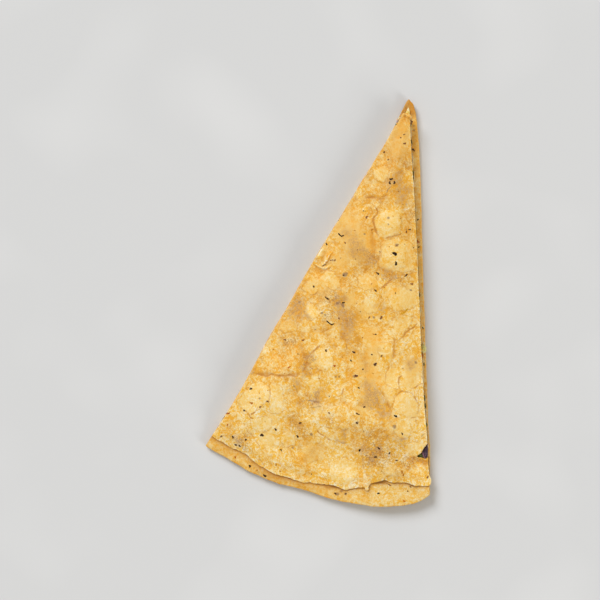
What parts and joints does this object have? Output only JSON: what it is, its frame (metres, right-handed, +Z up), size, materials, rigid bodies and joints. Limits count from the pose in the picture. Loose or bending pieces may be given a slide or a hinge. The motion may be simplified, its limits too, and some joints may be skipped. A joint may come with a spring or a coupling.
{
  "type": "chicken quesadilla wedge",
  "caption": "Flat wedge of filled flatbread: a flour tortilla below, a layer of chicken and melted cheese, and a second tortilla draped over it.",
  "frame": {"origin": "centre of the plan's box, on the surface that the wedge lies on", "axes": "+Y towards the pointed tip, -Y to the round rim, +X towards the steeper cut with the tear, +Z up"},
  "size_m": [0.0947, 0.1712, 0.0123],
  "materials": {
    "tortilla_bottom": "toasted flour tortilla, matte, golden, with brown flecks",
    "tortilla_top": "toasted flour tortilla, matte, golden yellow with paler flakes and darker specks",
    "filling": "pale chicken in melted cheese, slightly moist, with herbs, onion and pepper",
    "onion": "cooked red onion, dark purple, slightly glossy",
    "pepper": "cooked green pepper, slightly glossy",
    "cheese": "melted cheese, pale yellow, smooth"
  },
  "bodies": {
    "root": {"bottom_tortilla": "tortilla_bottom", "top_tortilla": "tortilla_top", "filling": "filling", "red_onion": "onion", "green_pepper": "pepper", "cheese_crumb": "cheese", "cheese_sliver": "cheese"}
  },
  "joints": []
}
